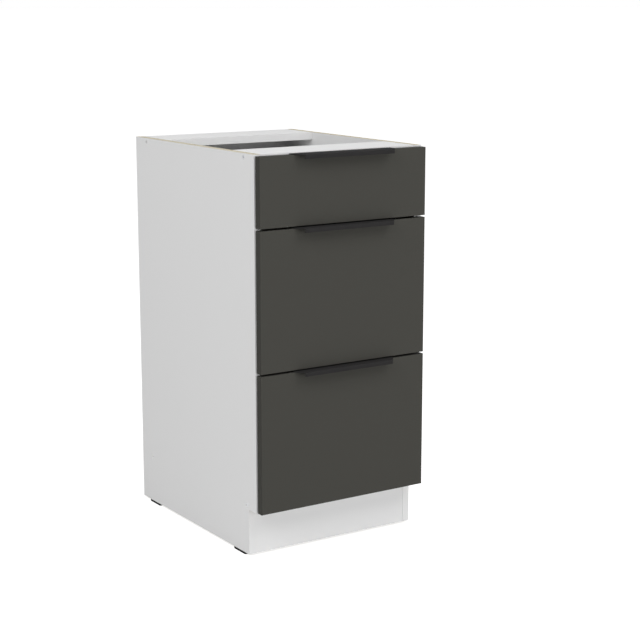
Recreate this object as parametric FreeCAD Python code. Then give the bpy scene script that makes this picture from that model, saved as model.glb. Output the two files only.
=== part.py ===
import FreeCAD, Part
import os

from FreeCAD import Vector

# Base cabinet with three drawers, in millimetres.
# X runs to the right, the fronts face -Y and Z is up. The origin lies on the floor, in the middle
# of the space that the whole cabinet takes up, handles included.

# ---------------------------------------------------------------------------------------------
# Driving dimensions
# ---------------------------------------------------------------------------------------------

# Carcass boards
cabinet_width = 400.0
cabinet_height = 820.0
side_depth = 502.0
board = 16.0
stretcher_width = 110.0
toe_height = 100.0
toe_recess = 30.0
plinth_setback = 0.5

# Thin back panel, let into a rabbet along the back of the sides
thin_panel = 3.0
rabbet_width = 8.0
back_panel_recess = 0.2
back_panel_edge_clearance = 0.5
back_panel_top_margin = 1.0

# Drawer fronts
front_thickness = 16.0
front_side_margin = 2.0
front_top_margin = 3.0
front_bottom_margin = 1.0
front_gap = 4.0
top_front_height = 140.0
front_edge_radius = 1.0

# Drawer boxes
box_lift = 22.0
top_box_headroom = 42.0
large_box_headroom = 82.0
groove_height_above_edge = 10.0
groove_depth = 4.0
groove_clearance = 0.2
groove_end_clearance = 0.5

# Ball-bearing slides: a cabinet rail, a drawer rail and a ball cage between them
slide_thickness = 12.7
rail_height = 35.0
rail_steel = 1.0
rail_lip = 1.2
rail_mouth_clearance = 1.1
rail_setback = 2.0
rail_back_clearance = 50.0
rail_height_on_box = 38.0
rail_overlap = 130.0
ball_diameter = 4.0
ball_running_clearance = 0.05
ball_side_clearance = 0.2
balls_per_track = 5
ball_pitch = 24.0
cage_steel = 0.8
cage_web_clearance = 0.6
cage_mouth_clearance = 0.5
stop_width = 10.0
stop_clearance = 1.0

# Edge-pull handles
handle_reach = 20.0
handle_length = 241.0
handle_end_bevel = 15.0
handle_metal = 1.5
handle_lip_drop = 7.0
handle_flange_drop = 12.0
handle_flange_clearance = 0.5
handle_corner_radius = 0.8

# Carcass and drawer-box assembly screws, with a hexagon socket in the head
assembly_screw_length = 50.0
assembly_head_radius = 5.0
assembly_head_height = 2.0
assembly_shank_radius = 3.5
assembly_head_recess = 0.2
hex_socket_width = 4.0
hex_socket_depth = 1.5
carcass_screw_from_back = 50.0
carcass_screw_from_front = 39.0
box_screw_inset = 18.0

# Small countersunk screws for the rails and the handles
small_head_radius = 3.0
small_head_height = 1.5
small_shank_radius = 1.5
small_screw_length = 13.0
rail_screw_end_inset = 35.0
handle_screw_spacing = 90.0

# Pan-head screws that hold a front to its drawer box
pan_head_radius = 3.5
pan_head_height = 2.0
pan_shank_radius = 1.75
pan_screw_cover = 4.0
front_screw_side_inset = 45.0
front_screw_edge_inset = 24.0

# Nails of the back panel
nail_radius = 0.7
nail_head_radius = 1.5
nail_head_height = 0.5
nail_length = 16.0
nail_end_inset = 40.0
nails_per_side = 5
nails_per_board = 2

# Plastic glides under the sides
glide_height = 5.0
glide_length = 47.0
glide_width = 15.0
glide_corner_radius = 3.0
glide_rear_inset = 30.0
glide_front_inset = 18.0
glide_spigot_radius = 2.5
glide_spigot_length = 12.0

# Clear bumpers, which keep the fronts and the handle flanges off the carcass
bumper_radius = 5.0
bumper_drop = 30.0

# ---------------------------------------------------------------------------------------------
# Places worked out from them
# ---------------------------------------------------------------------------------------------

LEFT = -1
RIGHT = 1
SAME_PLACE = 0.001
SIDES = (("left", LEFT), ("right", RIGHT))

outer_x = cabinet_width / 2
inner_x = outer_x - board

bumper_thickness = handle_metal + handle_flange_clearance
back_y = (side_depth + bumper_thickness + front_thickness + handle_reach) / 2
carcass_front_y = back_y - side_depth
front_back_y = carcass_front_y - bumper_thickness
flange_back_y = front_back_y + handle_metal
front_face_y = front_back_y - front_thickness
handle_face_y = front_face_y - handle_reach
toe_y = carcass_front_y + toe_recess
back_panel_y = back_y - back_panel_recess - thin_panel

bottom_panel_top = toe_height + board
stretcher_bottom = cabinet_height - board

front_half_width = outer_x - front_side_margin
highest_front_top = cabinet_height - front_top_margin
lowest_front_bottom = toe_height + front_bottom_margin
large_front_height = (highest_front_top - lowest_front_bottom - top_front_height - 2 * front_gap) / 2

rail_length = side_depth - rail_setback - rail_back_clearance
rail_front_y = carcass_front_y + rail_setback
rail_back_y = rail_front_y + rail_length
drawer_travel = rail_length - rail_overlap

box_outer_x = inner_x - slide_thickness
box_inner_x = box_outer_x - board
box_back_y = front_back_y + rail_length
box_front_inner_y = front_back_y + board
box_back_inner_y = box_back_y - board

# Section of a slide: u runs from the cabinet side (0) to the drawer box, w up from its centre
rail_half_height = rail_height / 2
cabinet_rail_mouth_u = slide_thickness - rail_mouth_clearance
ball_space = ball_diameter + 2 * ball_side_clearance
drawer_rail_edge_u = cabinet_rail_mouth_u - ball_space - 2 * rail_steel
ball_u = drawer_rail_edge_u + rail_steel + ball_space / 2
cabinet_track_w = rail_half_height - rail_steel
drawer_track_w = cabinet_track_w - ball_diameter - 2 * ball_running_clearance
ball_w = (cabinet_track_w + drawer_track_w) / 2
cage_back_u = drawer_rail_edge_u - cage_web_clearance
cage_web_u = cage_back_u - cage_steel
cage_mouth_u = slide_thickness - rail_steel - cage_mouth_clearance
cage_half_height = ball_w + cage_steel / 2
cage_length = rail_overlap - 2 * (rail_steel + stop_clearance)
cage_front_y = rail_front_y + rail_steel + stop_clearance + drawer_travel / 2


class Drawer:
    """Heights of one drawer: its front, its box and its slides."""

    def __init__(self, name, front_top, front_height, headroom):
        self.name = name
        self.front_top = front_top
        self.front_bottom = front_top - front_height
        self.box_bottom = self.front_bottom + box_lift
        self.box_top = front_top - headroom
        self.slide_z = self.box_bottom + rail_height_on_box


middle_front_top = highest_front_top - top_front_height - front_gap
bottom_front_top = middle_front_top - large_front_height - front_gap
DRAWERS = (
    Drawer("top", highest_front_top, top_front_height, top_box_headroom),
    Drawer("middle", middle_front_top, large_front_height, large_box_headroom),
    Drawer("bottom", bottom_front_top, large_front_height, large_box_headroom),
)

# ---------------------------------------------------------------------------------------------
# Basic shapes
# ---------------------------------------------------------------------------------------------


def block(x_range, y_range, z_range):
    """Box between three pairs of limits, given in either order."""
    low = Vector(min(x_range), min(y_range), min(z_range))
    high = Vector(max(x_range), max(y_range), max(z_range))
    size = high - low
    return Part.makeBox(size.x, size.y, size.z, low)


def prism(corners, sweep):
    """Solid made by sweeping a closed outline of corners along a vector."""
    outline = Part.makePolygon(list(corners) + [corners[0]])
    return Part.Face(outline).extrude(sweep)


def rod(start, direction, radius, length):
    """Round bar that starts at a point and runs along a direction."""
    return Part.makeCylinder(radius, length, start, direction)


def evenly(first, last, count):
    """Places spread evenly from the first to the last, both included."""
    return [first + (last - first) * index / (count - 1) for index in range(count)]


def join(shapes):
    """One solid made of shapes that touch or overlap."""
    whole = shapes[0].multiFuse(shapes[1:]) if len(shapes) > 1 else shapes[0]
    return whole.removeSplitter()


def drilled(shape, bores):
    """The shape with every bore taken out of it."""
    return shape.cut(Part.makeCompound(bores)) if bores else shape


def export(name, *solids):
    """Write one node, made of one solid or of several separate ones."""
    shape = solids[0] if len(solids) == 1 else Part.makeCompound(list(solids))
    shape.exportStep("parts/" + name + ".step")


# ---------------------------------------------------------------------------------------------
# Fasteners: each gives its own solid and the bore that it fills
# ---------------------------------------------------------------------------------------------


def assembly_screw(surface_point, direction):
    """Assembly screw sunk a little below a surface; direction points into the board."""
    head_start = surface_point + direction * assembly_head_recess
    head = rod(head_start, direction, assembly_head_radius, assembly_head_height)
    shank = rod(head_start, direction, assembly_shank_radius, assembly_screw_length)
    recess = rod(surface_point, direction, assembly_head_radius, assembly_head_recess)
    body = join([head, shank])
    return body.cut(hex_socket(head_start, direction)), join([body, recess])


def hex_socket(start, direction):
    """Six-sided hole for the key, in the head of a screw that points along X."""
    corner = Vector(0, 0, hex_socket_width / 3 ** 0.5)
    turns = [FreeCAD.Rotation(Vector(1, 0, 0), 60 * index) for index in range(6)]
    corners = [start + turn.multVec(corner) for turn in turns]
    return prism(corners, direction * hex_socket_depth)


def small_screw(surface_point, direction):
    """Countersunk screw whose head is flush with a surface; the bore is its own shape."""
    head = Part.makeCone(small_head_radius, small_shank_radius, small_head_height, surface_point, direction)
    shank = rod(surface_point, direction, small_shank_radius, small_screw_length)
    return join([head, shank])


def pan_screw(surface_point, direction, length):
    """Pan-head screw whose head stands on a surface; the length is that of its shank."""
    head = rod(surface_point - direction * pan_head_height, direction, pan_head_radius, pan_head_height)
    shank = rod(surface_point, direction, pan_shank_radius, length)
    return join([head, shank]), shank


def nail(surface_point, direction):
    """Nail whose head is flush with a surface; the bore is its own shape."""
    head = rod(surface_point, direction, nail_head_radius, nail_head_height)
    shank = rod(surface_point, direction, nail_radius, nail_length)
    return join([head, shank])


# ---------------------------------------------------------------------------------------------
# Carcass
# ---------------------------------------------------------------------------------------------


def carcass_screws(side):
    """The four screws of one side board, with their bores."""
    places_y = (carcass_front_y + carcass_screw_from_front, back_y - carcass_screw_from_back)
    places_z = (toe_height + board / 2, cabinet_height - board / 2)
    inwards = Vector(-side, 0, 0)
    return [assembly_screw(Vector(side * outer_x, y, z), inwards) for y in places_y for z in places_z]


def back_nails():
    """Nails along both sides, the rear stretcher and the bottom panel."""
    side_places = evenly(toe_height + nail_end_inset, cabinet_height - nail_end_inset, nails_per_side)
    board_places = evenly(nail_end_inset - inner_x, inner_x - nail_end_inset, nails_per_board)
    rabbet_x = inner_x + rabbet_width / 2
    spots = [(side * rabbet_x, z) for name, side in SIDES for z in side_places]
    spots += [(x, z) for x in board_places for z in (toe_height + board / 2, cabinet_height - board / 2)]
    return [nail(Vector(x, back_y - back_panel_recess, z), Vector(0, -1, 0)) for x, z in spots]


def glides(side):
    """Front and rear glide of one side board: a rounded pad with a spigot."""
    centre_x = side * (outer_x - board / 2)
    starts = (back_y - glide_rear_inset - glide_length, toe_y + glide_front_inset)
    pads = []
    for start_y in starts:
        x_range = (centre_x - glide_width / 2, centre_x + glide_width / 2)
        pad = block(x_range, (start_y, start_y + glide_length), (0, glide_height))
        upright = [edge for edge in pad.Edges if abs(edge.tangentAt(edge.FirstParameter).z) > 0.5]
        pad = pad.makeFillet(glide_corner_radius, upright)
        spigot_start = Vector(centre_x, start_y + glide_length / 2, glide_height)
        spigot = rod(spigot_start, Vector(0, 0, 1), glide_spigot_radius, glide_spigot_length)
        pads.append(join([pad, spigot]))
    return pads


def bumpers(side):
    """Round bumpers on the front edge of one side board, one behind each front."""
    x = side * (outer_x - board / 2)
    spots = [Vector(x, carcass_front_y, drawer.front_top - bumper_drop) for drawer in DRAWERS]
    return [rod(spot, Vector(0, -1, 0), bumper_radius, bumper_thickness) for spot in spots]


def side_board(side, bores):
    """Side board with its toe notch and the rabbet for the back panel."""
    x_range = (side * inner_x, side * outer_x)
    body = block(x_range, (carcass_front_y, back_y), (glide_height, cabinet_height))
    notch = block(x_range, (carcass_front_y, toe_y), (glide_height, toe_height))
    rabbet_x = (side * inner_x, side * (inner_x + rabbet_width))
    rabbet = block(rabbet_x, (back_panel_y, back_y), (glide_height, cabinet_height))
    return drilled(body.cut(notch).cut(rabbet), bores)


def cross_board(y_range, z_range, bores):
    """Board that spans the carcass from side to side."""
    return drilled(block((-inner_x, inner_x), y_range, z_range), bores)


def back_panel(bores):
    """Thin back panel, behind the stretcher and the bottom panel."""
    half_width = inner_x + rabbet_width - back_panel_edge_clearance
    z_range = (toe_height, cabinet_height - back_panel_top_margin)
    sheet = block((-half_width, half_width), (back_panel_y, back_panel_y + thin_panel), z_range)
    return drilled(sheet, bores)


def make_carcass():
    """Write every fixed board, its glides and its fasteners."""
    nails = back_nails()
    all_screws = []
    all_bores = []
    all_glides = []
    all_bumpers = []
    for name, side in SIDES:
        screws = carcass_screws(side)
        bores = [bore for screw, bore in screws]
        pads = glides(side)
        export("side_" + name, side_board(side, bores + pads + nails + rail_screws_in_side(side)))
        all_screws += [screw for screw, bore in screws]
        all_bores += bores
        all_glides += pads
        all_bumpers += bumpers(side)
    cross_bores = all_bores + nails
    bottom_y = (carcass_front_y, back_panel_y)
    bottom_z = (toe_height, bottom_panel_top)
    front_y = (carcass_front_y, carcass_front_y + stretcher_width)
    rear_y = (back_panel_y - stretcher_width, back_panel_y)
    stretcher_z = (stretcher_bottom, cabinet_height)
    plinth_y = (toe_y + plinth_setback, toe_y + plinth_setback + board)
    plinth_z = (glide_height, toe_height)
    export("bottom_panel", cross_board(bottom_y, bottom_z, cross_bores))
    export("front_stretcher", cross_board(front_y, stretcher_z, cross_bores))
    export("rear_stretcher", cross_board(rear_y, stretcher_z, cross_bores))
    export("plinth_board", cross_board(plinth_y, plinth_z, []))
    export("back_panel", back_panel(nails))
    export("back_nails", *nails)
    export("carcass_screws", *all_screws)
    export("floor_glides", *all_glides)
    export("front_bumpers", *all_bumpers)


# ---------------------------------------------------------------------------------------------
# Slides
# ---------------------------------------------------------------------------------------------


def slide_point(side, slide_z, u, y, w):
    """Point of a slide, given in its section's own u and w."""
    return Vector(side * (inner_x - u), y, slide_z + w)


def rail_screw_places():
    """Distances along Y of the three screws of a rail."""
    return evenly(rail_front_y + rail_screw_end_inset, rail_back_y - rail_screw_end_inset, 3)


def cabinet_rail_screws(side, drawer):
    """Screws that hold one cabinet rail, driven outwards into the side board."""
    outwards = Vector(side, 0, 0)
    return [small_screw(slide_point(side, drawer.slide_z, rail_steel, y, 0), outwards)
            for y in rail_screw_places()]


def drawer_rail_screws(side, drawer):
    """Screws that hold one drawer rail, driven inwards into the box side."""
    inwards = Vector(-side, 0, 0)
    web_u = slide_thickness - rail_steel
    return [small_screw(slide_point(side, drawer.slide_z, web_u, y, 0), inwards)
            for y in rail_screw_places()]


def rail_screws_in_side(side):
    """All the rail screws of one side board."""
    return [screw for drawer in DRAWERS for screw in cabinet_rail_screws(side, drawer)]


def mirrored(half_outline):
    """Closed u, w outline from its upper half."""
    return half_outline + [(u, -w) for u, w in reversed(half_outline)]


def rail_prism(side, slide_z, outline, start_y, length):
    """Solid of a slide piece from its u, w outline."""
    corners = [slide_point(side, slide_z, u, start_y, w) for u, w in outline]
    return prism(corners, Vector(0, length, 0))


def stop_tab(side, slide_z, u_range, start_y):
    """Tab bent up across the end of a rail, which the cage runs against."""
    low_u, high_u = u_range
    outline = mirrored([(low_u, stop_width / 2), (high_u, stop_width / 2)])
    return rail_prism(side, slide_z, outline, start_y, rail_steel)


def cabinet_rail(side, drawer):
    """Outer rail: a channel open to the drawer, with lips that keep the balls in."""
    mouth = cabinet_rail_mouth_u
    lip_w = cabinet_track_w - rail_lip
    half = [(0, rail_half_height), (mouth, rail_half_height), (mouth, lip_w), (mouth - rail_steel, lip_w),
            (mouth - rail_steel, cabinet_track_w), (rail_steel, cabinet_track_w)]
    channel = rail_prism(side, drawer.slide_z, mirrored(half), rail_front_y, rail_length)
    stop = stop_tab(side, drawer.slide_z, (0, cage_back_u), rail_front_y)
    return drilled(join([channel, stop]), cabinet_rail_screws(side, drawer))


def drawer_rail(side, drawer):
    """Inner rail: a smaller channel open to the cabinet side, with outward lips."""
    edge = drawer_rail_edge_u
    web_u = slide_thickness - rail_steel
    flange_w = drawer_track_w - rail_steel
    lip_w = drawer_track_w + rail_lip
    half = [(slide_thickness, drawer_track_w), (edge + rail_steel, drawer_track_w),
            (edge + rail_steel, lip_w), (edge, lip_w), (edge, flange_w), (web_u, flange_w)]
    channel = rail_prism(side, drawer.slide_z, mirrored(half), rail_front_y, rail_length)
    stop = stop_tab(side, drawer.slide_z, (cage_web_u, slide_thickness), rail_back_y - rail_steel)
    return drilled(join([channel, stop]), drawer_rail_screws(side, drawer))


def ball_cage(side, drawer):
    """Cage strip of U section with its holes, and the balls that it carries."""
    inner_w = cage_half_height - cage_steel
    half = [(cage_web_u, cage_half_height), (cage_mouth_u, cage_half_height), (cage_mouth_u, inner_w),
            (cage_back_u, inner_w)]
    strip = rail_prism(side, drawer.slide_z, mirrored(half), cage_front_y, cage_length)
    centre_y = cage_front_y + cage_length / 2
    reach = (balls_per_track - 1) * ball_pitch / 2
    centres = [slide_point(side, drawer.slide_z, ball_u, y, sign * ball_w)
               for y in evenly(centre_y - reach, centre_y + reach, balls_per_track) for sign in (1, -1)]
    hole_radius = ball_diameter / 2 + ball_running_clearance
    up = Vector(0, 0, 1)
    holes = [rod(centre - up * cage_steel, up, hole_radius, 2 * cage_steel) for centre in centres]
    balls = [Part.makeSphere(ball_diameter / 2, centre) for centre in centres]
    return [drilled(strip, holes)] + balls


def make_slides():
    """Write the cabinet rails with their screws, the drawer rails and the cages."""
    screws = []
    for drawer in DRAWERS:
        for name, side in SIDES:
            suffix = drawer.name + "_" + name
            export("cabinet_rail_" + suffix, cabinet_rail(side, drawer))
            export("drawer_rail_" + suffix, drawer_rail(side, drawer))
            export("ball_cage_" + suffix, *ball_cage(side, drawer))
            screws += cabinet_rail_screws(side, drawer)
    export("cabinet_rail_screws", *screws)


# ---------------------------------------------------------------------------------------------
# Drawers
# ---------------------------------------------------------------------------------------------


def box_screws(side, drawer):
    """Assembly screws that join one box side to the box front and back."""
    places_y = (front_back_y + board / 2, box_back_y - board / 2)
    places_z = (drawer.box_bottom + box_screw_inset, drawer.box_top - box_screw_inset)
    inwards = Vector(-side, 0, 0)
    return [assembly_screw(Vector(side * box_outer_x, y, z), inwards) for y in places_y for z in places_z]


def front_screws(drawer):
    """Pan-head screws through the box front into the drawer front."""
    x = box_inner_x - front_screw_side_inset
    places_z = (drawer.box_bottom + front_screw_edge_inset, drawer.box_top - front_screw_edge_inset)
    length = board + front_thickness - pan_screw_cover
    forwards = Vector(0, -1, 0)
    return [pan_screw(Vector(side * x, box_front_inner_y, z), forwards, length)
            for name, side in SIDES for z in places_z]


def handle_screws(drawer):
    """Countersunk screws through the handle's flange into the back of the front."""
    z = drawer.front_top - handle_flange_drop / 2
    return [small_screw(Vector(x, flange_back_y, z), Vector(0, -1, 0))
            for x in (-handle_screw_spacing, 0, handle_screw_spacing)]


def handle(drawer, bores):
    """Bent strip: a flange behind the front, a plate over its top edge and a lip before it."""
    top = drawer.front_top + handle_metal
    lip_back_y = handle_face_y + handle_metal
    lip_z = drawer.front_top - handle_lip_drop
    flange_z = drawer.front_top - handle_flange_drop
    section = [(flange_back_y, top), (handle_face_y, top), (handle_face_y, lip_z), (lip_back_y, lip_z),
               (lip_back_y, drawer.front_top), (front_back_y, drawer.front_top), (front_back_y, flange_z),
               (flange_back_y, flange_z)]
    half = handle_length / 2
    strip = prism([Vector(-half, y, z) for y, z in section], Vector(handle_length, 0, 0))
    bend = [edge for edge in strip.Edges if is_outer_bend(edge, top)]
    strip = strip.makeFillet(handle_corner_radius, bend)
    plan = [(-half, flange_back_y), (-half, front_face_y), (-half + handle_end_bevel, handle_face_y),
            (half - handle_end_bevel, handle_face_y), (half, front_face_y), (half, flange_back_y)]
    bevelled = prism([Vector(x, y, flange_z) for x, y in plan], Vector(0, 0, top - flange_z))
    return drilled(strip.common(bevelled), bores)


def is_outer_bend(edge, top):
    """Whether an edge is the long upper corner of the handle's lip."""
    corner = Vector(0, handle_face_y, top)
    ends = [Vector(0, vertex.Y, vertex.Z) for vertex in edge.Vertexes]
    return all(end.isEqual(corner, SAME_PLACE) for end in ends)


def drawer_front(drawer, bores):
    """Front board with its outer edges rounded by the edge band."""
    x_range = (-front_half_width, front_half_width)
    body = block(x_range, (front_face_y, front_back_y), (drawer.front_bottom, drawer.front_top))
    rim = [edge for edge in body.Edges if edge.BoundBox.YMax < (front_face_y + front_back_y) / 2]
    return drilled(body.makeFillet(front_edge_radius, rim), bores)


def bottom_groove(drawer):
    """Space of the groove that runs round the inside of the box."""
    reach = groove_depth
    low = drawer.box_bottom + groove_height_above_edge
    return block((-box_inner_x - reach, box_inner_x + reach),
                 (box_front_inner_y - reach, box_back_inner_y + reach),
                 (low, low + thin_panel + groove_clearance))


def box_side(side, drawer, bores):
    """Side of a drawer box, grooved for the bottom."""
    body = block((side * box_inner_x, side * box_outer_x), (front_back_y, box_back_y),
                 (drawer.box_bottom, drawer.box_top))
    return drilled(body, bores + [bottom_groove(drawer)])


def box_end(drawer, y_range, bores):
    """Front or back of a drawer box, between its sides, grooved for the bottom."""
    body = block((-box_inner_x, box_inner_x), y_range, (drawer.box_bottom, drawer.box_top))
    return drilled(body, bores + [bottom_groove(drawer)])


def box_bottom(drawer):
    """Thin bottom, which lies in the groove."""
    reach = groove_depth - groove_end_clearance
    low = drawer.box_bottom + groove_height_above_edge
    return block((-box_inner_x - reach, box_inner_x + reach),
                 (box_front_inner_y - reach, box_back_inner_y + reach), (low, low + thin_panel))


def make_drawer(drawer):
    """Write one drawer: its front, handle, box and screws."""
    name = drawer.name
    pan = front_screws(drawer)
    pan_bores = [bore for screw, bore in pan]
    pull_screws = handle_screws(drawer)
    assembly = []
    small = list(pull_screws)
    for side_name, side in SIDES:
        screws = box_screws(side, drawer)
        rail_fixings = drawer_rail_screws(side, drawer)
        bores = [bore for screw, bore in screws]
        export("box_side_" + name + "_" + side_name, box_side(side, drawer, bores + rail_fixings))
        assembly += screws
        small += rail_fixings
    bores = [bore for screw, bore in assembly]
    export("box_front_" + name, box_end(drawer, (front_back_y, box_front_inner_y), bores + pan_bores))
    export("box_back_" + name, box_end(drawer, (box_back_inner_y, box_back_y), bores))
    export("box_bottom_" + name, box_bottom(drawer))
    export("front_" + name, drawer_front(drawer, pan_bores + pull_screws))
    export("handle_" + name, handle(drawer, pull_screws))
    export("box_screws_" + name, *[screw for screw, bore in assembly])
    export("front_screws_" + name, *[screw for screw, bore in pan])
    export("small_screws_" + name, *small)


os.makedirs("parts", exist_ok=True)
make_carcass()
make_slides()
for each_drawer in DRAWERS:
    make_drawer(each_drawer)
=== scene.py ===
import functools
import logging
import math
from dataclasses import dataclass, field
from enum import Enum
from typing import Callable, Iterable, Sequence

import bmesh
import bpy
from mathutils import Matrix, Vector


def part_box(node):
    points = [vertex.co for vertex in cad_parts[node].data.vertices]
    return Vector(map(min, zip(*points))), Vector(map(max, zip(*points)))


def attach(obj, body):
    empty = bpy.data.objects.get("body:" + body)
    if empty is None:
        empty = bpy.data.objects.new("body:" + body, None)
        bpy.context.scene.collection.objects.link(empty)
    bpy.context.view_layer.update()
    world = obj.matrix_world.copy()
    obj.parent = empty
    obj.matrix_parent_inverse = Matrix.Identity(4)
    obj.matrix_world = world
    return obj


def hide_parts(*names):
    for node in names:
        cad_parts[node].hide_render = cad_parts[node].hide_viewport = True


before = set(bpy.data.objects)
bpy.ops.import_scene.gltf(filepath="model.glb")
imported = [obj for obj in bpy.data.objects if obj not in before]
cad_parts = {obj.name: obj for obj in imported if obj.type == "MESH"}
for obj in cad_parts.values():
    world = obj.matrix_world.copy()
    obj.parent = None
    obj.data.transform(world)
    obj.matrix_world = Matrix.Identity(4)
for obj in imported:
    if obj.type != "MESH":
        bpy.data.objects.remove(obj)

LOG = logging.getLogger("base_cabinet")
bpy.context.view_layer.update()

MM = 0.001
UP = Vector((0, 0, 1))
X_AXIS = Vector((1, 0, 0))
Y_AXIS = Vector((0, 1, 0))
MERGE_DISTANCE = 0.002 * MM
SAME_PLACE = 0.01 * MM
FLAT_ANGLE = math.radians(0.5)
SHARP_ANGLE = math.radians(40)
SMOOTH_ANGLE = math.radians(35)
BOARD_EDGE = 0.4 * MM
LONG_EDGE = 12 * MM
DRAWER_NAMES = ("top", "middle", "bottom")
SIDES = ("left", "right")

Colour = tuple[float, float, float]


# ---------------------------------------------------------------------------------------------
# Shader arithmetic
# ---------------------------------------------------------------------------------------------


class Signal:
    """An output socket of a shader tree that can be used in arithmetic."""

    def __init__(self, tree: "ShaderTree", socket: bpy.types.NodeSocket) -> None:
        """Wrap a socket.

        Args:
            tree: The shader tree that holds the socket.
            socket: The output socket.
        """
        self.tree = tree
        self.socket = socket

    def _math(self, operation: str, first: "Signal | float", second: "Signal | float") -> "Signal":
        """Add a Math node and return its value."""
        return self.tree.node("ShaderNodeMath", {"operation": operation}, {0: first, 1: second})

    def __add__(self, other: "Signal | float") -> "Signal":
        """Sum of two values."""
        return self._math("ADD", self, other)

    def __radd__(self, other: float) -> "Signal":
        """Sum with a number on the left."""
        return self._math("ADD", other, self)

    def __sub__(self, other: "Signal | float") -> "Signal":
        """Difference of two values."""
        return self._math("SUBTRACT", self, other)

    def __rsub__(self, other: float) -> "Signal":
        """Difference with a number on the left."""
        return self._math("SUBTRACT", other, self)

    def __mul__(self, other: "Signal | float") -> "Signal":
        """Product of two values."""
        return self._math("MULTIPLY", self, other)

    def __rmul__(self, other: float) -> "Signal":
        """Product with a number on the left."""
        return self._math("MULTIPLY", other, self)

    def above(self, limit: float) -> "Signal":
        """One where the value is above the limit, else zero."""
        return self._math("GREATER_THAN", self, limit)

    def at_least(self, other: "Signal | float") -> "Signal":
        """The larger of two values."""
        return self._math("MAXIMUM", self, other)

    def smooth(self, low: float, high: float) -> "Signal":
        """Zero below low, one above high, and a smooth step between."""
        settings = {"interpolation_type": "SMOOTHSTEP"}
        inputs = {"Value": self, "From Min": low, "From Max": high}
        return self.tree.node("ShaderNodeMapRange", settings, inputs)

    def axis(self, index: int) -> "Signal":
        """One coordinate of a vector: 0 for X, 1 for Y, 2 for Z."""
        return self.tree.node("ShaderNodeSeparateXYZ", {}, {0: self}, output=index)


class ShaderTree:
    """The node tree of one material, with a Principled surface."""

    def __init__(self, name: str) -> None:
        """Make an empty material.

        Args:
            name: The material's name.
        """
        self.material = bpy.data.materials.new(name)
        self.material.use_nodes = True
        self.nodes = self.material.node_tree.nodes
        self.links = self.material.node_tree.links
        self.nodes.clear()
        self.output = self.nodes.new("ShaderNodeOutputMaterial")

    def node(self, kind: str, settings: dict | None = None, inputs: dict | None = None,
             output: int | str = 0) -> Signal:
        """Add any node.

        Args:
            kind: The node's type name.
            settings: Attributes of the node, and "ramp" for the stops of a colour ramp.
            inputs: Values or signals by socket name or index.
            output: The output socket that is returned.

        Returns:
            The wanted output as a signal.
        """
        made = self.nodes.new(kind)
        for key, value in (settings or {}).items():
            if key == "ramp":
                self._set_ramp(made, value)
            else:
                setattr(made, key, value)
        for key, value in (inputs or {}).items():
            if isinstance(value, Signal):
                self.links.new(value.socket, made.inputs[key])
            else:
                made.inputs[key].default_value = value
        return Signal(self, made.outputs[output])

    @staticmethod
    def _set_ramp(ramp_node: bpy.types.Node, stops: Sequence[tuple[float, Colour]]) -> None:
        """Give a colour ramp its stops, each a place and a colour."""
        elements = ramp_node.color_ramp.elements
        while len(elements) < len(stops):
            elements.new(1.0)
        for element, (place, colour) in zip(elements, stops):
            element.position = place
            element.color = (*colour, 1.0)

    def place(self) -> Signal:
        """Object coordinates, in metres."""
        return self.node("ShaderNodeTexCoord", {}, {}, output="Object")

    def facing(self) -> Signal:
        """Unit normal of the surface, in object space."""
        return self.node("ShaderNodeTexCoord", {}, {}, output="Normal")

    def stretched(self, scale: Sequence[float]) -> Signal:
        """Object coordinates stretched by a scale along each axis."""
        return self.node("ShaderNodeMapping", {}, {"Vector": self.place(), "Scale": Vector(scale)})

    def noise(self, scale: float, detail: float = 3.0, vector: Signal | None = None,
              roughness: float = 0.5) -> Signal:
        """Noise from 0 to 1, centred on about 0.5."""
        inputs = {"Vector": vector or self.place(), "Scale": scale, "Detail": detail, "Roughness": roughness}
        return self.node("ShaderNodeTexNoise", {}, inputs)

    def cells(self, scale: float, output: str = "Color", vector: Signal | None = None) -> Signal:
        """Voronoi cells: their random colour, or another output."""
        inputs = {"Vector": vector or self.place(), "Scale": scale}
        return self.node("ShaderNodeTexVoronoi", {}, inputs, output)

    def ramp(self, value: Signal, stops: Sequence[tuple[float, Colour]]) -> Signal:
        """Colour picked from stops by a value."""
        return self.node("ShaderNodeValToRGB", {"ramp": stops}, {"Fac": value})

    def mixed(self, factor: "Signal | float", first: "Signal | Colour", second: "Signal | Colour") -> Signal:
        """Colour between two colours.

        Args:
            factor: Zero gives the first colour and one the second.
            first: A colour or a signal.
            second: A colour or a signal.

        Returns:
            The mixed colour.
        """
        colours = [value if isinstance(value, Signal) else (*value, 1.0) for value in (first, second)]
        inputs = {0: factor, 6: colours[0], 7: colours[1]}
        return self.node("ShaderNodeMix", {"data_type": "RGBA"}, inputs, output=2)

    def toned(self, colour: "Signal | Colour", value: Signal, amount: float) -> Signal:
        """Colour made lighter and darker by a value that is centred on 0.5."""
        tone = 1 + (value - 0.5) * (2 * amount)
        grey = self.node("ShaderNodeCombineColor", {}, {0: tone, 1: tone, 2: tone})
        first = colour if isinstance(colour, Signal) else (*colour, 1.0)
        settings = {"data_type": "RGBA", "blend_type": "MULTIPLY"}
        return self.node("ShaderNodeMix", settings, {0: 1.0, 6: first, 7: grey}, output=2)

    def bump(self, height: Signal, distance: float, strength: float) -> Signal:
        """Surface normal bent by a height; the distance is in metres."""
        return self.node("ShaderNodeBump", {}, {"Height": height, "Distance": distance, "Strength": strength})

    def finish(self, **inputs: "Signal | float | Colour") -> bpy.types.Material:
        """Connect the Principled surface and return the material.

        Args:
            inputs: Values or signals by socket name, with underscores for spaces.

        Returns:
            The finished material.
        """
        named = {}
        for key, value in inputs.items():
            named[key.replace("_", " ")] = (*value, 1.0) if isinstance(value, tuple) else value
        surface = self.node("ShaderNodeBsdfPrincipled", {}, named)
        self.links.new(surface.socket, self.output.inputs["Surface"])
        return self.material


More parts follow.
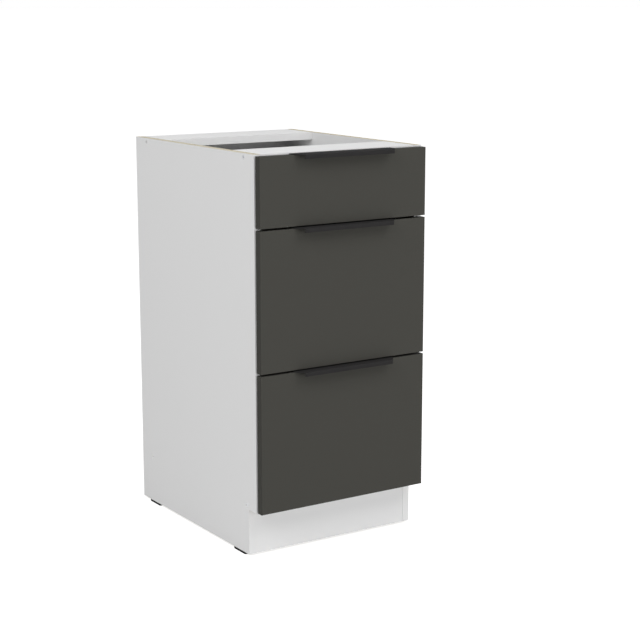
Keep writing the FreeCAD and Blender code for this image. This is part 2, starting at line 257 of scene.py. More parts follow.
# ---------------------------------------------------------------------------------------------
# Finishes
# ---------------------------------------------------------------------------------------------


class Facing(Enum):
    """A direction that a board's raw edge looks in: the coordinate and its sign."""

    UP = (2, 1)
    DOWN = (2, -1)
    BACK = (1, 1)


@dataclass(frozen=True)
class WhiteBoard:
    """Chipboard faced with white melamine; raw where it has no edge band."""

    raw: tuple[Facing, ...]
    white: Colour = (0.80, 0.80, 0.80)
    tone_scale: float = 3.0
    tone_amount: float = 0.012
    specular: float = 0.4
    roughness: float = 0.46
    sheen_scale: float = 60.0
    sheen_range: float = 0.08
    pearl_scale: float = 900.0
    pearl_depth: float = 0.02 * MM
    pearl_strength: float = 0.6
    flake_scale: float = 420.0
    flake_stretch: tuple[float, float, float] = (1.0, 0.45, 1.0)
    chip_scale: float = 1500.0
    chip_tone: float = 0.18
    pit_scale: float = 1600.0
    pit_depth_ratio: float = 8.0
    raw_threshold: float = 0.95
    raw_roughness: float = 0.9
    raw_tan: Colour = (0.61, 0.56, 0.43)
    raw_light: Colour = (0.75, 0.71, 0.58)
    raw_dark: Colour = (0.38, 0.30, 0.19)
    tan_from: float = 0.22
    tan_to: float = 0.6

    @functools.cache
    def material(self) -> bpy.types.Material:
        """The board's material, with its raw edges picked out by the way they face."""
        tree = ShaderTree("white_board_" + "_".join(face.name.lower() for face in self.raw))
        tone = tree.noise(self.tone_scale, 2.0)
        film = tree.toned(self.white, tone, self.tone_amount)
        pearl = tree.noise(self.pearl_scale, 1.0)
        film_rough = self.roughness + (tree.noise(self.sheen_scale) - 0.5) * self.sheen_range
        raw = self._raw_mask(tree)
        flakes = tree.cells(self.flake_scale, vector=tree.stretched(self.flake_stretch))
        colours = [(0.0, self.raw_dark), (self.tan_from, self.raw_tan), (self.tan_to, self.raw_tan),
                   (1.0, self.raw_light)]
        chips = tree.toned(tree.ramp(flakes, colours), tree.noise(self.chip_scale, 4.0), self.chip_tone)
        pits = tree.noise(self.pit_scale, 4.0)
        height = pearl * (1 - raw) + pits * raw * self.pit_depth_ratio
        return tree.finish(
            Base_Color=tree.mixed(raw, film, chips),
            Roughness=film_rough * (1 - raw) + raw * self.raw_roughness,
            Specular_IOR_Level=self.specular,
            Normal=tree.bump(height, self.pearl_depth, self.pearl_strength),
        )

    def _raw_mask(self, tree: ShaderTree) -> Signal:
        """One on every face that looks in one of the raw directions."""
        normal = tree.facing()
        masks = [(normal.axis(face.value[0]) * face.value[1]).above(self.raw_threshold) for face in self.raw]
        whole = masks[0]
        for mask in masks[1:]:
            whole = whole.at_least(mask)
        return whole


@dataclass(frozen=True)
class FibreBoard:
    """Thin fibreboard, lacquered on the face that shows inside the cabinet and brown behind."""

    brown_side: Facing = Facing.BACK
    lacquer: Colour = (0.82, 0.82, 0.82)
    brown: Colour = (0.34, 0.22, 0.13)
    brown_tone: float = 0.35
    brown_roughness: float = 0.78
    lacquer_tone: float = 0.02
    lacquer_scale: float = 4.0
    lacquer_roughness: float = 0.48
    lacquered_from: float = 0.9
    fibre_scale: float = 260.0
    fibre_stretch: tuple[float, float, float] = (1.0, 1.0, 0.5)
    fibre_roughness: float = 0.65
    fibre_depth: float = 0.05 * MM
    fibre_strength: float = 0.5

    @functools.cache
    def material(self) -> bpy.types.Material:
        """The sheet's material."""
        tree = ShaderTree("fibre_board_" + self.brown_side.name.lower())
        index, sign = self.brown_side.value
        lacquered = (tree.facing().axis(index) * -sign).above(self.lacquered_from)
        fibres = tree.noise(self.fibre_scale, 6.0, tree.stretched(self.fibre_stretch), self.fibre_roughness)
        bare = tree.toned(self.brown, fibres, self.brown_tone)
        film = tree.toned(self.lacquer, tree.noise(self.lacquer_scale), self.lacquer_tone)
        smoother = self.brown_roughness - self.lacquer_roughness
        return tree.finish(
            Base_Color=tree.mixed(lacquered, bare, film),
            Roughness=self.brown_roughness - lacquered * smoother,
            Normal=tree.bump(fibres, self.fibre_depth, self.fibre_strength),
        )


@dataclass(frozen=True)
class MattFront:
    """Fingerprint-resistant matt laminate: a deep olive grey, darker on the faces that look sideways, up and
    down, partly from the edge band's own tone and partly as painted shade.
    """

    colour: Colour = (0.0545, 0.0532, 0.0465)
    # Darkening of the edge faces: partly the edge band's own tone, partly painted shade for the lesser light
    # on them.
    band_tone_and_painted_shade: float = 0.75
    band_below: float = 0.3
    face_above: float = 0.9
    specular: float = 0.12
    roughness: float = 0.68
    cloud_scale: float = 5.0
    cloud_tone: float = 0.02
    cloud_roughness: float = 0.05
    speck_scale: float = 700.0
    speck_tone: float = 0.03
    grain_scale: float = 2600.0
    grain_roughness: float = 0.06
    grain_depth: float = 0.012 * MM
    grain_strength: float = 0.5

    @functools.cache
    def material(self) -> bpy.types.Material:
        """The laminate's material."""
        tree = ShaderTree("matt_olive_laminate")
        cloud = tree.noise(self.cloud_scale, 3.0)
        grain = tree.noise(self.grain_scale, 2.0)
        speck = tree.noise(self.speck_scale, 2.0)
        # Faces that do not look to the front or back get a darker colour: partly the edge band's own tone,
        # partly painted shade where less light falls.
        across = tree.facing().axis(1)
        face = (across * across).smooth(self.band_below, self.face_above)
        band = tuple(channel * self.band_tone_and_painted_shade for channel in self.colour)
        colour = tree.mixed(face, band, self.colour)
        return tree.finish(
            Base_Color=tree.toned(tree.toned(colour, cloud, self.cloud_tone), speck, self.speck_tone),
            Roughness=(self.roughness + (cloud - 0.5) * self.cloud_roughness
                       + (grain - 0.5) * self.grain_roughness),
            Specular_IOR_Level=self.specular,
            Normal=tree.bump(grain, self.grain_depth, self.grain_strength),
        )


@dataclass(frozen=True)
class BlackCoat:
    """Matt black powder coat on bent aluminium strip."""

    colour: Colour = (0.0295, 0.0285, 0.0287)
    specular: float = 0.03
    roughness: float = 0.88
    cloud_scale: float = 40.0
    cloud_tone: float = 0.12
    peel_scale: float = 1400.0
    peel_roughness: float = 0.12
    peel_depth: float = 0.03 * MM
    peel_strength: float = 0.6

    @functools.cache
    def material(self) -> bpy.types.Material:
        """The coat's material."""
        tree = ShaderTree("black_powder_coat")
        peel = tree.noise(self.peel_scale, 2.0)
        cloud = tree.noise(self.cloud_scale, 2.0)
        return tree.finish(
            Base_Color=tree.toned(self.colour, cloud, self.cloud_tone),
            Roughness=self.roughness + (peel - 0.5) * self.peel_roughness,
            Specular_IOR_Level=self.specular,
            Normal=tree.bump(peel, self.peel_depth, self.peel_strength),
        )


@dataclass(frozen=True)
class Zinc:
    """Bright zinc plating on rolled steel, with drawing lines along the rail."""

    name: str = "zinc_plated_steel"
    colour: Colour = (0.58, 0.59, 0.61)
    bloom_colour: Colour = (0.60, 0.592, 0.572)
    bloom_scale: float = 55.0
    bloom_from: float = 0.42
    bloom_to: float = 0.62
    bloom_roughness: float = 0.12
    roughness: float = 0.34
    line_scale: tuple[float, float, float] = (900.0, 12.0, 900.0)
    line_tone: float = 0.07
    line_roughness: float = 0.18
    line_depth: float = 0.01 * MM
    line_strength: float = 0.5

    @functools.cache
    def material(self) -> bpy.types.Material:
        """The plating's material."""
        tree = ShaderTree(self.name)
        lines = tree.noise(1.0, 4.0, tree.stretched(self.line_scale))
        bloom = tree.noise(self.bloom_scale, 4.0)
        tint = tree.mixed(bloom.smooth(self.bloom_from, self.bloom_to), self.colour, self.bloom_colour)
        return tree.finish(
            Base_Color=tree.toned(tint, lines, self.line_tone),
            Metallic=1.0,
            Roughness=(self.roughness + (lines - 0.5) * self.line_roughness
                       + (bloom - 0.5) * self.bloom_roughness),
            Normal=tree.bump(lines, self.line_depth, self.line_strength),
        )


@dataclass(frozen=True)
class BlackPlastic:
    """Moulded black plastic with a fine spark-eroded texture."""

    colour: Colour = (0.009, 0.009, 0.009)
    specular: float = 0.04
    tone_scale: float = 30.0
    tone_amount: float = 0.15
    roughness: float = 0.62
    grain_scale: float = 1800.0
    grain_roughness: float = 0.2
    grain_depth: float = 0.03 * MM
    grain_strength: float = 0.6

    @functools.cache
    def material(self) -> bpy.types.Material:
        """The plastic's material."""
        tree = ShaderTree("moulded_black_plastic")
        grain = tree.noise(self.grain_scale, 3.0)
        return tree.finish(
            Base_Color=tree.toned(self.colour, tree.noise(self.tone_scale), self.tone_amount),
            Roughness=self.roughness + (grain - 0.5) * self.grain_roughness,
            Specular_IOR_Level=self.specular,
            Normal=tree.bump(grain, self.grain_depth, self.grain_strength),
        )


@dataclass(frozen=True)
class ClearBumper:
    """Clear elastic plastic of a stick-on bumper, milky when thin on a white board."""

    colour: Colour = (0.78, 0.79, 0.77)
    cloud_scale: float = 300.0
    cloud_tone: float = 0.04
    roughness: float = 0.18
    cloud_roughness: float = 0.08
    milkiness: float = 0.3
    milk_depth: float = 2 * MM
    gloss: float = 0.3

    @functools.cache
    def material(self) -> bpy.types.Material:
        """The bumper's material."""
        tree = ShaderTree("clear_bumper_plastic")
        cloud = tree.noise(self.cloud_scale, 2.0)
        return tree.finish(
            Base_Color=tree.toned(self.colour, cloud, self.cloud_tone),
            Roughness=self.roughness + (cloud - 0.5) * self.cloud_roughness,
            Subsurface_Weight=self.milkiness,
            Subsurface_Scale=self.milk_depth,
            Coat_Weight=self.gloss,
        )


# ---------------------------------------------------------------------------------------------
# Shapes
# ---------------------------------------------------------------------------------------------


class Shape:
    """A mesh that is being made with bmesh operators, in metres and in the cabinet's frame."""

    def __init__(self) -> None:
        """Start with nothing."""
        self.bm = bmesh.new()

    @classmethod
    def cuboid(cls, low: Vector, high: Vector) -> "Shape":
        """Box between two corners."""
        shape = cls()
        size = high - low
        matrix = Matrix.Translation((low + high) / 2) @ Matrix.Diagonal((*size, 1.0))
        bmesh.ops.create_cube(shape.bm, size=1.0, matrix=matrix)
        return shape

    @classmethod
    def prism(cls, outline: Sequence[Vector], sweep: Vector) -> "Shape":
        """Solid swept from a flat outline along a vector."""
        shape = cls()
        corners = [shape.bm.verts.new(corner) for corner in outline]
        face = shape.bm.faces.new(corners)
        swept = bmesh.ops.extrude_face_region(shape.bm, geom=[face], use_keep_orig=True)
        moved = [item for item in swept["geom"] if isinstance(item, bmesh.types.BMVert)]
        bmesh.ops.translate(shape.bm, verts=moved, vec=sweep)
        shape.outwards()
        return shape

    @classmethod
    def lathe(cls, profile: Sequence[tuple[float, float]], steps: int) -> "Shape":
        """Shell turned about the Z axis from (radius, height) points.

        Args:
            profile: Points from the first ring to the last; a radius of zero closes the end.
            steps: Sides of the turned shape.

        Returns:
            The shape.
        """
        shape = cls()
        points = [shape.bm.verts.new((radius, 0.0, height)) for radius, height in profile]
        edges = [shape.bm.edges.new(pair) for pair in zip(points, points[1:])]
        bmesh.ops.spin(shape.bm, geom=points + edges, cent=(0, 0, 0), axis=UP, angle=math.tau,
                       steps=steps, use_merge=True, use_duplicate=False)
        bmesh.ops.remove_doubles(shape.bm, verts=shape.bm.verts, dist=MERGE_DISTANCE)
        return shape

    @classmethod
    def of_node(cls, node: str) -> "Shape":
        """Merged copy of a CAD node, with its flat faces whole again."""
        shape = cls()
        shape.bm.from_mesh(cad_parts[node].data)
        bmesh.ops.remove_doubles(shape.bm, verts=shape.bm.verts, dist=MERGE_DISTANCE)
        bmesh.ops.dissolve_limit(shape.bm, angle_limit=FLAT_ANGLE, verts=shape.bm.verts,
                                 edges=shape.bm.edges, delimit=set())
        return shape

    def outwards(self) -> None:
        """Turn every face outwards."""
        bmesh.ops.recalc_face_normals(self.bm, faces=self.bm.faces)

    def moved(self, matrix: Matrix) -> "Shape":
        """The shape after a transform."""
        bmesh.ops.transform(self.bm, matrix=matrix, verts=self.bm.verts)
        return self

    def take(self, other: "Shape") -> None:
        """Add another shape's mesh to this one."""
        carrier = bpy.data.meshes.new("carrier")
        other.bm.to_mesh(carrier)
        other.bm.free()
        self.bm.from_mesh(carrier)
        bpy.data.meshes.remove(carrier)

    def rounded(self, width: float, segments: int,
                chosen: Callable[[bmesh.types.BMEdge], bool] = lambda edge: True) -> "Shape":
        """Round the sharp edges that a test picks.

        Args:
            width: Width of the rounding, in metres.
            segments: Steps of the rounding.
            chosen: Test of one edge.

        Returns:
            The shape itself.
        """
        sharp = [edge for edge in self.bm.edges if is_sharp(edge) and chosen(edge)]
        bmesh.ops.bevel(self.bm, geom=sharp, offset=width, offset_type="OFFSET", segments=segments,
                        profile=0.5, affect="EDGES", clamp_overlap=True, material=-1)
        return self

    def piece(self, name: str, body: str, slot: str, material: bpy.types.Material,
              stands_for: Iterable[str] = (), smooth_angle: float = SMOOTH_ANGLE) -> bpy.types.Object:
        """Make the finished object and hang it on its body.

        Args:
            name: The piece's name.
            body: The CAD body that it moves with.
            slot: Name of a material slot; not used.
            material: The material.
            stands_for: CAD nodes that it is shown instead of.
            smooth_angle: Edges that bend less than this are shaded smooth.

        Returns:
            The object.
        """
        for face in self.bm.faces:
            face.smooth = True
        for edge in self.bm.edges:
            edge.smooth = edge.is_manifold and edge.calc_face_angle(0.0) < smooth_angle
        mesh = bpy.data.meshes.new(name)
        self.bm.to_mesh(mesh)
        self.bm.free()
        mesh.materials.append(material)
        made = bpy.data.objects.new(name, mesh)
        bpy.context.scene.collection.objects.link(made)
        weighted = made.modifiers.new("flat_faces_first", "WEIGHTED_NORMAL")
        weighted.keep_sharp = True
        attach(made, body)
        nodes = list(stands_for)
        if nodes:
            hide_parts(*nodes)
        LOG.info("%s: %d faces on %s", name, len(mesh.polygons), body)
        return made


def is_sharp(edge: bmesh.types.BMEdge) -> bool:
    """Whether an edge bends by more than the sharp angle, either way."""
    return edge.is_manifold and edge.calc_face_angle(0.0) > SHARP_ANGLE


def is_longer_than(length: float) -> Callable[[bmesh.types.BMEdge], bool]:
    """Test that picks edges longer than a length, in metres."""
    return lambda edge: edge.calc_length() > length


def is_beyond(axis: int, sign: int, limit: float) -> Callable[[bmesh.types.BMEdge], bool]:
    """Test that picks edges that lie wholly to one side of a place along an axis.

    Args:
        axis: 0 for X, 1 for Y, 2 for Z.
        sign: 1 for the side above the limit and -1 for the side below it.
        limit: The place, in metres.

    Returns:
        The test of one edge.
    """
    return lambda edge: all((vertex.co[axis] - limit) * sign > 0 for vertex in edge.verts)


def is_upright(edge: bmesh.types.BMEdge) -> bool:
    """Whether an edge runs along Z."""
    direction = (edge.verts[1].co - edge.verts[0].co).normalized()
    return abs(direction.z) > 0.99


def runs_through(edge: bmesh.types.BMEdge, y: float, z: float) -> bool:
    """Whether both ends of an edge lie at a place in Y and Z."""
    return all(abs(vertex.co.y - y) + abs(vertex.co.z - z) < SAME_PLACE for vertex in edge.verts)


def solids_of(node: str) -> list[tuple[Vector, Vector]]:
    """Lowest and highest corner of each separate solid in a CAD node."""
    bm = bmesh.new()
    bm.from_mesh(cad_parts[node].data)
    bmesh.ops.remove_doubles(bm, verts=bm.verts, dist=MERGE_DISTANCE)
    waiting = set(bm.verts)
    boxes = []
    while waiting:
        start = waiting.pop()
        island = [start]
        for vertex in island:
            for edge in vertex.link_edges:
                neighbour = edge.other_vert(vertex)
                if neighbour in waiting:
                    waiting.discard(neighbour)
                    island.append(neighbour)
        low = Vector(min(vertex.co[axis] for vertex in island) for axis in range(3))
        high = Vector(max(vertex.co[axis] for vertex in island) for axis in range(3))
        boxes.append((low, high))
    bm.free()
    return boxes


def white_board_piece(node: str, body: str, raw: tuple[Facing, ...]) -> None:
    """Show a CAD board as a white board with its long edges just broken.

    Args:
        node: The CAD board.
        body: The CAD body that it moves with.
        raw: Directions that its raw edges look in.
    """
    shape = Shape.of_node(node).rounded(BOARD_EDGE, 2, is_longer_than(LONG_EDGE))
    shape.piece(node + "_faced", body, "white_board", WhiteBoard(raw).material(), (node,))


def dress_node(node: str, material: bpy.types.Material) -> None:
    """Give a CAD node, which keeps its own shape, its material."""
    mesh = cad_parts[node].data
    mesh.materials.clear()
    mesh.materials.append(material)
    LOG.info("%s: CAD shape, %s", node, material.name)


# ---------------------------------------------------------------------------------------------
# Screws
# ---------------------------------------------------------------------------------------------


class Drive(Enum):
    """Shape of the recess in a screw's head."""

    HEXAGON = "hexagon"
    CROSS = "cross"


class HeadEnd(Enum):
    """Which end of a lying screw its head is at."""

    OUTER_X = "outer"
    INNER_X = "inner"
    BACK_Y = "back"


@dataclass(frozen=True)
class ScrewType:
    """Sizes of one kind of screw, along an axis that points out of its head."""

    drive: Drive
    head_radius: float
    head_height: float
    dome: float
    shank_radius: float
    head_taper: float
    recess_radius: float
    recess_depth: float
    sides: int = 28
    arm_waist: float = 0.26
    rim_ratio: float = 1.25
    floor_ratio: float = 0.8
    point_ratio: float = 0.1
    widest_break: float = 0.15 * MM

    def recess_outline(self) -> list[Vector]:
        """Corners of the recess, in the plane of the head."""
        if self.drive is Drive.HEXAGON:
            turns = [math.tau * (index + 0.5) / 6 for index in range(6)]
            return [Vector((math.cos(turn), math.sin(turn), 0)) * self.recess_radius for turn in turns]
        arm = self.recess_radius
        waist = arm * self.arm_waist
        arm_end = (Vector((waist, waist, 0)), Vector((waist, arm, 0)), Vector((-waist, arm, 0)))
        corners = []
        for quarter in range(4):
            turn = Matrix.Rotation(quarter * math.pi / 2, 3, "Z")
            corners += [turn @ point for point in arm_end]
        return corners

    def shape(self, length: float) -> Shape:
        """One screw with its head's face at the origin and its tip below.

        Args:
            length: Length from the head's face to the tip.

        Returns:
            The closed shape.
        """
        rim = self.recess_radius * self.rim_ratio
        seat = -self.head_height
        foot = max(self.shank_radius, self.head_radius - self.head_taper)
        broken = min(self.widest_break, self.head_height / 4)
        shoulder = -length * (1 - self.point_ratio)
        profile = [
            (rim, 0.0), (self.head_radius - broken, -self.dome),
            (self.head_radius, -self.dome - broken), (foot, seat),
            (self.shank_radius, seat), (self.shank_radius, shoulder), (0.0, -length),
        ]
        screw = Shape.lathe(profile, self.sides)
        opening = [edge for edge in screw.bm.edges if edge.is_boundary]
        corners = [screw.bm.verts.new(corner) for corner in self.recess_outline()]
        loop = [screw.bm.edges.new(pair) for pair in zip(corners, corners[1:] + corners[:1])]
        bmesh.ops.triangle_fill(screw.bm, edges=opening + loop, use_beauty=True, normal=UP)
        sunk = bmesh.ops.extrude_edge_only(screw.bm, edges=loop)["geom"]
        floor = [item for item in sunk if isinstance(item, bmesh.types.BMVert)]
        bmesh.ops.translate(screw.bm, verts=floor, vec=-UP * self.recess_depth)
        bmesh.ops.scale(screw.bm, verts=floor, vec=(self.floor_ratio, self.floor_ratio, 1.0))
        rim_edges = [item for item in sunk if isinstance(item, bmesh.types.BMEdge) and item.is_boundary]
        bmesh.ops.contextual_create(screw.bm, geom=rim_edges)
        screw.outwards()
        return screw


ASSEMBLY_SCREW = ScrewType(
    drive=Drive.HEXAGON, head_radius=4.95 * MM, head_height=2.0 * MM, dome=0.05 * MM,
    shank_radius=3.5 * MM, head_taper=0.0, recess_radius=2.3 * MM, recess_depth=1.6 * MM)
PAN_SCREW = ScrewType(
    drive=Drive.CROSS, head_radius=3.5 * MM, head_height=2.0 * MM, dome=0.7 * MM,
    shank_radius=1.75 * MM, head_taper=0.0, recess_radius=1.9 * MM, recess_depth=1.1 * MM)
COUNTERSUNK = ScrewType(
    drive=Drive.CROSS, head_radius=2.95 * MM, head_height=1.5 * MM, dome=0.02 * MM,
    shank_radius=1.5 * MM, head_taper=1.45 * MM, recess_radius=1.7 * MM, recess_depth=0.9 * MM)


@dataclass(frozen=True)
class ScrewGroup:
    """All the screws of one CAD node, which they are shown instead of."""

    node: str
    body: str
    kind: ScrewType
    head_end: HeadEnd

    def build(self) -> bpy.types.Object:
        """Make the group as one piece."""
        whole = Shape()
        for low, high in solids_of(self.node):
            whole.take(self.one(low, high))
        plating = Zinc("zinc_plated_screw").material()
        return whole.piece(self.node + "_turned", self.body, "zinc_steel", plating, (self.node,))

    def one(self, low: Vector, high: Vector) -> Shape:
        """One screw that fills a CAD screw's box."""
        size = high - low
        middle = (low + high) / 2
        along_y = size.y > size.x
        if along_y:
            outwards = Y_AXIS
            head = Vector((middle.x, high.y, middle.z))
        else:
            side = math.copysign(1.0, middle.x)
            turn = -side if self.head_end is HeadEnd.INNER_X else side
            outwards = X_AXIS * turn
            head = Vector((high.x if turn > 0 else low.x, middle.y, middle.z))
        turned = outwards.to_track_quat("Z", "Y").to_matrix().to_4x4()
        return self.kind.shape(max(size)).moved(Matrix.Translation(head) @ turned)


# ---------------------------------------------------------------------------------------------
# Carcass
# ---------------------------------------------------------------------------------------------


@dataclass
class Carcass:
    """The fixed boards with their glides, bumpers, rails and fasteners."""

    body: str = "carcass"
    glide_corner: float = 3.0 * MM
    glide_chamfer: float = 0.3 * MM
    sole_reach: float = 1.0 * MM
    bumper_sides: int = 24
    bumper_dome: tuple[tuple[float, float], ...] = ((1.0, 0.0), (0.97, 0.35), (0.85, 0.72), (0.62, 0.94),
                                                    (0.3, 1.0), (0.0, 1.0))
    raw_by_board: dict[str, tuple[Facing, ...]] = field(default_factory=lambda: {
        "side_left": (Facing.UP, Facing.DOWN, Facing.BACK),
        "side_right": (Facing.UP, Facing.DOWN, Facing.BACK),
        "bottom_panel": (Facing.BACK,),
        "front_stretcher": (Facing.BACK,),
        "rear_stretcher": (Facing.BACK,),
        "plinth_board": (Facing.UP, Facing.DOWN),
    })

    def build(self) -> None:
        """Build and dress every fixed piece."""
        for node, raw in self.raw_by_board.items():
            white_board_piece(node, self.body, raw)
        dress_node("back_panel", FibreBoard(Facing.BACK).material())
        dress_node("back_nails", Zinc("bright_nail").material())
        self.glides()
        self.bumpers()
        ScrewGroup("carcass_screws", self.body, ASSEMBLY_SCREW, HeadEnd.OUTER_X).build()
        ScrewGroup("cabinet_rail_screws", self.body, COUNTERSUNK, HeadEnd.INNER_X).build()
        for drawer in DRAWER_NAMES:
            for side in SIDES:
                dress_node(f"cabinet_rail_{drawer}_{side}", Zinc().material())

    def glides(self) -> None:
        """Moulded glides: rounded pads with a chamfered sole."""
        whole = Shape()
        side_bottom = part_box("side_left")[0].z
        for low, high in solids_of("floor_glides"):
            pad = Shape.cuboid(low, Vector((high.x, high.y, side_bottom)))
            pad.rounded(self.glide_corner, 5, is_upright)
            pad.rounded(self.glide_chamfer, 2, is_beyond(2, -1, low.z + self.sole_reach))
            whole.take(pad)
        plastic = BlackPlastic().material()
        whole.piece("moulded_glides", self.body, "black_plastic", plastic, ("floor_glides",))

    def bumpers(self) -> None:
        """Domed stick-on bumpers on the front edges of the sides."""
        whole = Shape()
        for low, high in solids_of("front_bumpers"):
            radius = (high.z - low.z) / 2
            depth = high.y - low.y
            dome = [(radius * across, depth * along) for across, along in self.bumper_dome]
            disc = Shape.lathe([(0.0, 0.0)] + dome, self.bumper_sides)
            disc.outwards()
            centre = Vector(((low.x + high.x) / 2, high.y, (low.z + high.z) / 2))
            turned = (-Y_AXIS).to_track_quat("Z", "Y").to_matrix().to_4x4()
            whole.take(disc.moved(Matrix.Translation(centre) @ turned))
        plastic = ClearBumper().material()
        whole.piece("stick_on_bumpers", self.body, "clear_bumper", plastic, ("front_bumpers",))


# ---------------------------------------------------------------------------------------------
# Drawers
# ---------------------------------------------------------------------------------------------


@dataclass
class DrawerUnit:
    """One drawer: its front, handle, box, rails and fasteners."""

    name: str
    front_edge: float = 1.1 * MM
    back_edge: float = 0.4 * MM
    lip_drop: float = 7.0 * MM
    lip_set_back: float = 15.0 * MM
    inner_bend: float = 0.4 * MM
    strip_edge: float = 0.2 * MM

    @property
    def body(self) -> str:
        """The CAD body of this drawer."""
        return "drawer_" + self.name

    def build(self) -> None:
        """Build and dress every piece of the drawer."""
        self.front()
        self.handle()
        self.box_boards()
        dress_node("box_bottom_" + self.name, FibreBoard(Facing.DOWN).material())
        for side in SIDES:
            dress_node(f"drawer_rail_{self.name}_{side}", Zinc().material())
            dress_node(f"ball_cage_{self.name}_{side}", Zinc("cage_and_balls", roughness=0.26).material())
        ScrewGroup("box_screws_" + self.name, self.body, ASSEMBLY_SCREW, HeadEnd.OUTER_X).build()
        ScrewGroup("front_screws_" + self.name, self.body, PAN_SCREW, HeadEnd.BACK_Y).build()
        ScrewGroup("small_screws_" + self.name, self.body, COUNTERSUNK, HeadEnd.OUTER_X).build()

    def front(self) -> None:
        """Front board with softly rounded outer edges."""
        node = "front_" + self.name
        low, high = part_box(node)
        middle_y = (low.y + high.y) / 2
        shape = Shape.cuboid(low, high)
        shape.rounded(self.front_edge, 4, is_beyond(1, -1, middle_y))
        shape.rounded(self.back_edge, 2, is_beyond(1, 1, middle_y))
        shape.piece(node + "_laminated", self.body, "grey_front", MattFront().material(), (node,))

    def handle(self) -> None:
        """Bent strip over the front's top edge, with mitred ends and soft bends."""
        node = "handle_" + self.name
        low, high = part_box(node)
        front_low, front_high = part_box("front_" + self.name)
        metal = high.z - front_high.z
        lip_bottom = front_high.z - self.lip_drop
        top_bottom = front_high.z
        lip_back = low.y + metal
        section = [(high.y, high.z), (low.y, high.z), (low.y, lip_bottom), (lip_back, lip_bottom),
                   (lip_back, top_bottom), (front_high.y, top_bottom), (front_high.y, low.z), (high.y, low.z)]
        outline = [Vector((low.x, y, z)) for y, z in section]
        shape = Shape.prism(outline, Vector((high.x - low.x, 0, 0)))
        bends = {(low.y, high.z): self.inner_bend + metal, (high.y, high.z): self.inner_bend,
                 (lip_back, top_bottom): self.inner_bend}
        for (y, z), radius in bends.items():
            shape.rounded(radius, 4, lambda edge: runs_through(edge, y, z))
        self.mitre(shape, low, high, front_low.y)
        shape.rounded(self.strip_edge, 2)
        shape.piece(node + "_bent", self.body, "black_handle", BlackCoat().material(), (node,), SHARP_ANGLE)

    def mitre(self, shape: Shape, low: Vector, high: Vector, face_y: float) -> None:
        """Cut both ends of the handle's lip back at a slant.

        Args:
            shape: The handle.
            low: Lowest corner of the handle.
            high: Highest corner of the handle.
            face_y: Place of the front's face, where the slant starts.
        """
        for end_x, sign in ((low.x, -1), (high.x, 1)):
            normal = Vector(((face_y - low.y) * sign, -self.lip_set_back, 0)).normalized()
            geometry = shape.bm.verts[:] + shape.bm.edges[:] + shape.bm.faces[:]
            bmesh.ops.bisect_plane(shape.bm, geom=geometry, dist=MERGE_DISTANCE, plane_co=(end_x, face_y, 0),
                                   plane_no=normal, clear_outer=True)
            open_edges = [edge for edge in shape.bm.edges if edge.is_boundary]
            bmesh.ops.holes_fill(shape.bm, edges=open_edges)
        shape.outwards()

    def box_boards(self) -> None:
        """The four white boards of the drawer box."""
        for end in ("front", "back"):
            white_board_piece(f"box_{end}_{self.name}", self.body, (Facing.DOWN,))
        for side in SIDES:
            white_board_piece(f"box_side_{self.name}_{side}", self.body, (Facing.DOWN, Facing.BACK))


# ---------------------------------------------------------------------------------------------
# Studio
# ---------------------------------------------------------------------------------------------


@dataclass(frozen=True)
class Lamp:
    """A soft rectangular lamp that looks at a point."""

    name: str
    place: tuple[float, float, float]
    target: tuple[float, float, float]
    width: float
    height: float
    power: float

    def build(self) -> None:
        """Make the lamp."""
        data = bpy.data.lights.new(self.name, "AREA")
        data.shape = "RECTANGLE"
        data.size = self.width
        data.size_y = self.height
        data.energy = self.power
        lamp = bpy.data.objects.new(self.name, data)
        bpy.context.scene.collection.objects.link(lamp)
        lamp.location = self.place
        aim = Vector(self.target) - Vector(self.place)
        lamp.rotation_mode = "QUATERNION"
        lamp.rotation_quaternion = aim.to_track_quat("-Z", "Y")


@dataclass(frozen=True)
class PhotoCamera:
    """Camera at the photograph's viewing angle, fitted to the cabinet's corners."""

    place: tuple[float, float, float] = (-1.7316, -2.8178, 1.1027)
    azimuth: float = -33.064
    pitch_down: float = 11.404
    lens: float = 88.09

    def build(self) -> None:
        """Make the camera and give it to the scene."""
        data = bpy.data.cameras.new("photo_camera")
        data.lens = self.lens
        camera = bpy.data.objects.new("photo_camera", data)
        bpy.context.scene.collection.objects.link(camera)
        camera.location = self.place
        camera.rotation_euler = (math.radians(90 - self.pitch_down), 0.0, math.radians(self.azimuth))
        bpy.context.scene.camera = camera


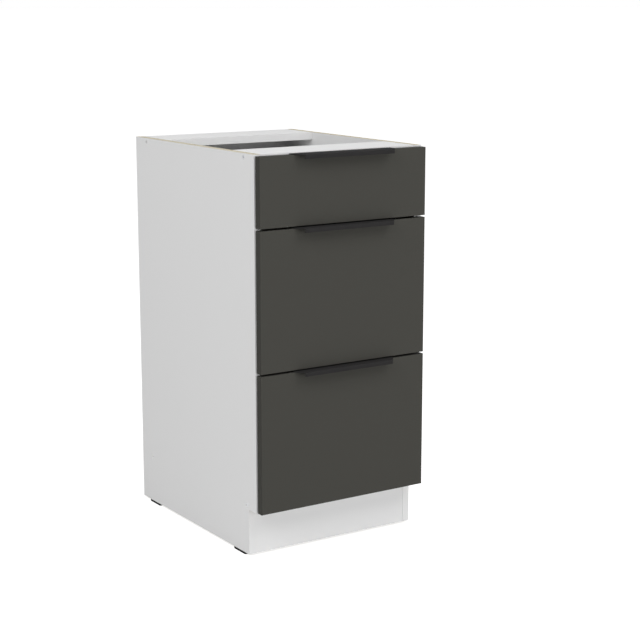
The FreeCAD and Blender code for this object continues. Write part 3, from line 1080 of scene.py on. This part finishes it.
@dataclass(frozen=True)
class Studio:
    """White studio: a pale floor, an even sky and soft lamps."""

    floor_size: float = 600.0
    floor_colour: Colour = (0.75, 0.75, 0.75)
    floor_lift: float = 0.74
    floor_roughness: float = 0.8
    floor_specular: float = 0.1
    sky: float = 0.40
    lamps: tuple[Lamp, ...] = (
        Lamp("high_front_lamp", (1.0, -2.6, 3.6), (0.0, 0.0, 0.5), 2.4, 2.4, 52.0),
        Lamp("low_front_lamp", (1.0, -3.8, 0.7), (0.0, 0.0, 0.4), 2.4, 1.2, 33.0),
        Lamp("high_side_lamp", (-3.0, -1.3, 3.0), (0.0, 0.0, 0.5), 2.4, 2.4, 59.0),
    )

    def build(self) -> None:
        """Make the floor, the sky, the lamps and the camera."""
        self.floor()
        self.world()
        for lamp in self.lamps:
            lamp.build()
        PhotoCamera().build()
        bpy.context.scene.view_settings.view_transform = "Standard"

    def floor(self) -> None:
        """Large floor that the camera sees as white, with the cabinet's shadow."""
        plane = bmesh.new()
        bmesh.ops.create_grid(plane, x_segments=1, y_segments=1, size=self.floor_size / 2)
        mesh = bpy.data.meshes.new("studio_floor")
        plane.to_mesh(mesh)
        plane.free()
        floor = bpy.data.objects.new("studio_floor", mesh)
        bpy.context.scene.collection.objects.link(floor)
        mesh.materials.append(self.floor_material())

    def floor_material(self) -> bpy.types.Material:
        """Pale floor, lifted to white for the camera and for reflections only."""
        tree = ShaderTree("pale_floor")
        rays = [tree.node("ShaderNodeLightPath", {}, {}, output=name)
                for name in ("Is Camera Ray", "Is Glossy Ray", "Is Transmission Ray")]
        seen = rays[0].at_least(rays[1]).at_least(rays[2])
        surface = tree.node("ShaderNodeBsdfPrincipled", {}, {
            "Base Color": (*self.floor_colour, 1.0), "Roughness": self.floor_roughness,
            "Specular IOR Level": self.floor_specular,
            "Emission Color": (1.0, 1.0, 1.0, 1.0), "Emission Strength": seen * self.floor_lift})
        tree.links.new(surface.socket, tree.output.inputs["Surface"])
        return tree.material

    def world(self) -> None:
        """Even sky that lights the cabinet, and plain white where the camera sees it."""
        world = bpy.data.worlds.new("studio_sky")
        bpy.context.scene.world = world
        world.use_nodes = True
        nodes = world.node_tree.nodes
        links = world.node_tree.links
        nodes.clear()
        path = nodes.new("ShaderNodeLightPath")
        seen = nodes.new("ShaderNodeMath")
        seen.operation = "MAXIMUM"
        links.new(path.outputs["Is Camera Ray"], seen.inputs[0])
        links.new(path.outputs["Is Glossy Ray"], seen.inputs[1])
        strength = nodes.new("ShaderNodeMapRange")
        strength.inputs["To Min"].default_value = self.sky
        strength.inputs["To Max"].default_value = 1.0
        links.new(seen.outputs[0], strength.inputs["Value"])
        background = nodes.new("ShaderNodeBackground")
        background.inputs["Color"].default_value = (1.0, 1.0, 1.0, 1.0)
        links.new(strength.outputs[0], background.inputs["Strength"])
        output = nodes.new("ShaderNodeOutputWorld")
        links.new(background.outputs[0], output.inputs["Surface"])


# ---------------------------------------------------------------------------------------------


def main() -> None:
    """Build the whole scene."""
    logging.basicConfig(level=logging.INFO, format="%(name)s %(message)s")
    Studio().build()
    Carcass().build()
    for name in DRAWER_NAMES:
        DrawerUnit(name).build()


if __name__ == "__main__":
    main()
